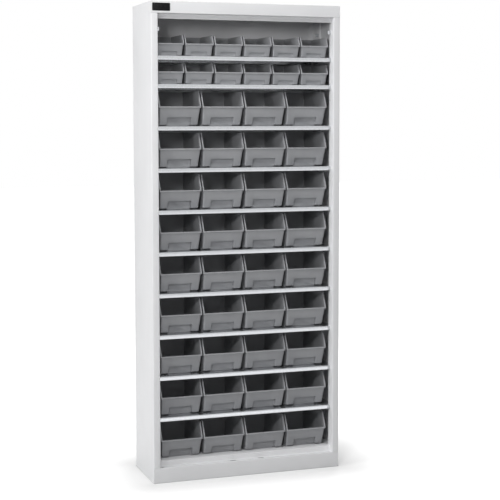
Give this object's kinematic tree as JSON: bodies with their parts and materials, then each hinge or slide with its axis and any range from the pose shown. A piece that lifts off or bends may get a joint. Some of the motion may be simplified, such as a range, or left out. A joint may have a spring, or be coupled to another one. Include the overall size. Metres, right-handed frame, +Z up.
{
  "type": "parts bin cabinet",
  "caption": "Tall shallow open-fronted steel cabinet with hung galvanised shelves and rows of pull-out open-front plastic picking bins in two sizes.",
  "frame": {"origin": "on the floor, under the centre of the bounding box", "axes": "+Z up; the open front faces -Y; +X is to the right of someone who faces the front"},
  "size_m": [0.717, 0.266, 1.72],
  "materials": {
    "painted_steel": "fine satin powder coat",
    "galvanised_steel": "bright galvanised",
    "bin_plastic": "satin moulded",
    "plate_black": "semi-gloss"
  },
  "bodies": {
    "cabinet": {"left_side": "painted_steel", "right_side": "painted_steel", "back_panel": "painted_steel", "roof_panel": "painted_steel", "base_panel": "painted_steel", "left_slot_strip": "painted_steel", "right_slot_strip": "painted_steel", "shelves": "galvanised_steel", "shelf_clips": "galvanised_steel", "name_plate": "plate_black"},
    "small_bin_1_1": {"small_bin_1_1": "bin_plastic"},
    "small_bin_1_2": {"small_bin_1_2": "bin_plastic"},
    "small_bin_1_3": {"small_bin_1_3": "bin_plastic"},
    "small_bin_1_4": {"small_bin_1_4": "bin_plastic"},
    "small_bin_1_5": {"small_bin_1_5": "bin_plastic"},
    "small_bin_1_6": {"small_bin_1_6": "bin_plastic"},
    "small_bin_2_1": {"small_bin_2_1": "bin_plastic"},
    "small_bin_2_2": {"small_bin_2_2": "bin_plastic"},
    "small_bin_2_3": {"small_bin_2_3": "bin_plastic"},
    "small_bin_2_4": {"small_bin_2_4": "bin_plastic"},
    "small_bin_2_5": {"small_bin_2_5": "bin_plastic"},
    "small_bin_2_6": {"small_bin_2_6": "bin_plastic"},
    "large_bin_3_1": {"large_bin_3_1": "bin_plastic"},
    "large_bin_3_2": {"large_bin_3_2": "bin_plastic"},
    "large_bin_3_3": {"large_bin_3_3": "bin_plastic"},
    "large_bin_3_4": {"large_bin_3_4": "bin_plastic"},
    "large_bin_4_1": {"large_bin_4_1": "bin_plastic"},
    "large_bin_4_2": {"large_bin_4_2": "bin_plastic"},
    "large_bin_4_3": {"large_bin_4_3": "bin_plastic"},
    "large_bin_4_4": {"large_bin_4_4": "bin_plastic"},
    "large_bin_5_1": {"large_bin_5_1": "bin_plastic"},
    "large_bin_5_2": {"large_bin_5_2": "bin_plastic"},
    "large_bin_5_3": {"large_bin_5_3": "bin_plastic"},
    "large_bin_5_4": {"large_bin_5_4": "bin_plastic"},
    "large_bin_6_1": {"large_bin_6_1": "bin_plastic"},
    "large_bin_6_2": {"large_bin_6_2": "bin_plastic"},
    "large_bin_6_3": {"large_bin_6_3": "bin_plastic"},
    "large_bin_6_4": {"large_bin_6_4": "bin_plastic"},
    "large_bin_7_1": {"large_bin_7_1": "bin_plastic"},
    "large_bin_7_2": {"large_bin_7_2": "bin_plastic"},
    "large_bin_7_3": {"large_bin_7_3": "bin_plastic"},
    "large_bin_7_4": {"large_bin_7_4": "bin_plastic"},
    "large_bin_8_1": {"large_bin_8_1": "bin_plastic"},
    "large_bin_8_2": {"large_bin_8_2": "bin_plastic"},
    "large_bin_8_3": {"large_bin_8_3": "bin_plastic"},
    "large_bin_8_4": {"large_bin_8_4": "bin_plastic"},
    "large_bin_9_1": {"large_bin_9_1": "bin_plastic"},
    "large_bin_9_2": {"large_bin_9_2": "bin_plastic"},
    "large_bin_9_3": {"large_bin_9_3": "bin_plastic"},
    "large_bin_9_4": {"large_bin_9_4": "bin_plastic"},
    "large_bin_10_1": {"large_bin_10_1": "bin_plastic"},
    "large_bin_10_2": {"large_bin_10_2": "bin_plastic"},
    "large_bin_10_3": {"large_bin_10_3": "bin_plastic"},
    "large_bin_10_4": {"large_bin_10_4": "bin_plastic"},
    "large_bin_11_1": {"large_bin_11_1": "bin_plastic"},
    "large_bin_11_2": {"large_bin_11_2": "bin_plastic"},
    "large_bin_11_3": {"large_bin_11_3": "bin_plastic"},
    "large_bin_11_4": {"large_bin_11_4": "bin_plastic"}
  },
  "joints": [
    {"name": "small_bin_1_1_slide", "type": "slide", "parent": "cabinet", "child": "small_bin_1_1", "axis": [0, -1, 0], "range_m": [0, 0.22]},
    {"name": "small_bin_1_2_slide", "type": "slide", "parent": "cabinet", "child": "small_bin_1_2", "axis": [0, -1, 0], "range_m": [0, 0.22]},
    {"name": "small_bin_1_3_slide", "type": "slide", "parent": "cabinet", "child": "small_bin_1_3", "axis": [0, -1, 0], "range_m": [0, 0.22]},
    {"name": "small_bin_1_4_slide", "type": "slide", "parent": "cabinet", "child": "small_bin_1_4", "axis": [0, -1, 0], "range_m": [0, 0.22]},
    {"name": "small_bin_1_5_slide", "type": "slide", "parent": "cabinet", "child": "small_bin_1_5", "axis": [0, -1, 0], "range_m": [0, 0.22]},
    {"name": "small_bin_1_6_slide", "type": "slide", "parent": "cabinet", "child": "small_bin_1_6", "axis": [0, -1, 0], "range_m": [0, 0.22]},
    {"name": "small_bin_2_1_slide", "type": "slide", "parent": "cabinet", "child": "small_bin_2_1", "axis": [0, -1, 0], "range_m": [0, 0.22]},
    {"name": "small_bin_2_2_slide", "type": "slide", "parent": "cabinet", "child": "small_bin_2_2", "axis": [0, -1, 0], "range_m": [0, 0.22]},
    {"name": "small_bin_2_3_slide", "type": "slide", "parent": "cabinet", "child": "small_bin_2_3", "axis": [0, -1, 0], "range_m": [0, 0.22]},
    {"name": "small_bin_2_4_slide", "type": "slide", "parent": "cabinet", "child": "small_bin_2_4", "axis": [0, -1, 0], "range_m": [0, 0.22]},
    {"name": "small_bin_2_5_slide", "type": "slide", "parent": "cabinet", "child": "small_bin_2_5", "axis": [0, -1, 0], "range_m": [0, 0.22]},
    {"name": "small_bin_2_6_slide", "type": "slide", "parent": "cabinet", "child": "small_bin_2_6", "axis": [0, -1, 0], "range_m": [0, 0.22]},
    {"name": "large_bin_3_1_slide", "type": "slide", "parent": "cabinet", "child": "large_bin_3_1", "axis": [0, -1, 0], "range_m": [0, 0.27]},
    {"name": "large_bin_3_2_slide", "type": "slide", "parent": "cabinet", "child": "large_bin_3_2", "axis": [0, -1, 0], "range_m": [0, 0.27]},
    {"name": "large_bin_3_3_slide", "type": "slide", "parent": "cabinet", "child": "large_bin_3_3", "axis": [0, -1, 0], "range_m": [0, 0.27]},
    {"name": "large_bin_3_4_slide", "type": "slide", "parent": "cabinet", "child": "large_bin_3_4", "axis": [0, -1, 0], "range_m": [0, 0.27]},
    {"name": "large_bin_4_1_slide", "type": "slide", "parent": "cabinet", "child": "large_bin_4_1", "axis": [0, -1, 0], "range_m": [0, 0.27]},
    {"name": "large_bin_4_2_slide", "type": "slide", "parent": "cabinet", "child": "large_bin_4_2", "axis": [0, -1, 0], "range_m": [0, 0.27]},
    {"name": "large_bin_4_3_slide", "type": "slide", "parent": "cabinet", "child": "large_bin_4_3", "axis": [0, -1, 0], "range_m": [0, 0.27]},
    {"name": "large_bin_4_4_slide", "type": "slide", "parent": "cabinet", "child": "large_bin_4_4", "axis": [0, -1, 0], "range_m": [0, 0.27]},
    {"name": "large_bin_5_1_slide", "type": "slide", "parent": "cabinet", "child": "large_bin_5_1", "axis": [0, -1, 0], "range_m": [0, 0.27]},
    {"name": "large_bin_5_2_slide", "type": "slide", "parent": "cabinet", "child": "large_bin_5_2", "axis": [0, -1, 0], "range_m": [0, 0.27]},
    {"name": "large_bin_5_3_slide", "type": "slide", "parent": "cabinet", "child": "large_bin_5_3", "axis": [0, -1, 0], "range_m": [0, 0.27]},
    {"name": "large_bin_5_4_slide", "type": "slide", "parent": "cabinet", "child": "large_bin_5_4", "axis": [0, -1, 0], "range_m": [0, 0.27]},
    {"name": "large_bin_6_1_slide", "type": "slide", "parent": "cabinet", "child": "large_bin_6_1", "axis": [0, -1, 0], "range_m": [0, 0.27]},
    {"name": "large_bin_6_2_slide", "type": "slide", "parent": "cabinet", "child": "large_bin_6_2", "axis": [0, -1, 0], "range_m": [0, 0.27]},
    {"name": "large_bin_6_3_slide", "type": "slide", "parent": "cabinet", "child": "large_bin_6_3", "axis": [0, -1, 0], "range_m": [0, 0.27]},
    {"name": "large_bin_6_4_slide", "type": "slide", "parent": "cabinet", "child": "large_bin_6_4", "axis": [0, -1, 0], "range_m": [0, 0.27]},
    {"name": "large_bin_7_1_slide", "type": "slide", "parent": "cabinet", "child": "large_bin_7_1", "axis": [0, -1, 0], "range_m": [0, 0.27]},
    {"name": "large_bin_7_2_slide", "type": "slide", "parent": "cabinet", "child": "large_bin_7_2", "axis": [0, -1, 0], "range_m": [0, 0.27]},
    {"name": "large_bin_7_3_slide", "type": "slide", "parent": "cabinet", "child": "large_bin_7_3", "axis": [0, -1, 0], "range_m": [0, 0.27]},
    {"name": "large_bin_7_4_slide", "type": "slide", "parent": "cabinet", "child": "large_bin_7_4", "axis": [0, -1, 0], "range_m": [0, 0.27]},
    {"name": "large_bin_8_1_slide", "type": "slide", "parent": "cabinet", "child": "large_bin_8_1", "axis": [0, -1, 0], "range_m": [0, 0.27]},
    {"name": "large_bin_8_2_slide", "type": "slide", "parent": "cabinet", "child": "large_bin_8_2", "axis": [0, -1, 0], "range_m": [0, 0.27]},
    {"name": "large_bin_8_3_slide", "type": "slide", "parent": "cabinet", "child": "large_bin_8_3", "axis": [0, -1, 0], "range_m": [0, 0.27]},
    {"name": "large_bin_8_4_slide", "type": "slide", "parent": "cabinet", "child": "large_bin_8_4", "axis": [0, -1, 0], "range_m": [0, 0.27]},
    {"name": "large_bin_9_1_slide", "type": "slide", "parent": "cabinet", "child": "large_bin_9_1", "axis": [0, -1, 0], "range_m": [0, 0.27]},
    {"name": "large_bin_9_2_slide", "type": "slide", "parent": "cabinet", "child": "large_bin_9_2", "axis": [0, -1, 0], "range_m": [0, 0.27]},
    {"name": "large_bin_9_3_slide", "type": "slide", "parent": "cabinet", "child": "large_bin_9_3", "axis": [0, -1, 0], "range_m": [0, 0.27]},
    {"name": "large_bin_9_4_slide", "type": "slide", "parent": "cabinet", "child": "large_bin_9_4", "axis": [0, -1, 0], "range_m": [0, 0.27]},
    {"name": "large_bin_10_1_slide", "type": "slide", "parent": "cabinet", "child": "large_bin_10_1", "axis": [0, -1, 0], "range_m": [0, 0.27]},
    {"name": "large_bin_10_2_slide", "type": "slide", "parent": "cabinet", "child": "large_bin_10_2", "axis": [0, -1, 0], "range_m": [0, 0.27]},
    {"name": "large_bin_10_3_slide", "type": "slide", "parent": "cabinet", "child": "large_bin_10_3", "axis": [0, -1, 0], "range_m": [0, 0.27]},
    {"name": "large_bin_10_4_slide", "type": "slide", "parent": "cabinet", "child": "large_bin_10_4", "axis": [0, -1, 0], "range_m": [0, 0.27]},
    {"name": "large_bin_11_1_slide", "type": "slide", "parent": "cabinet", "child": "large_bin_11_1", "axis": [0, -1, 0], "range_m": [0, 0.27]},
    {"name": "large_bin_11_2_slide", "type": "slide", "parent": "cabinet", "child": "large_bin_11_2", "axis": [0, -1, 0], "range_m": [0, 0.27]},
    {"name": "large_bin_11_3_slide", "type": "slide", "parent": "cabinet", "child": "large_bin_11_3", "axis": [0, -1, 0], "range_m": [0, 0.27]},
    {"name": "large_bin_11_4_slide", "type": "slide", "parent": "cabinet", "child": "large_bin_11_4", "axis": [0, -1, 0], "range_m": [0, 0.27]}
  ]
}
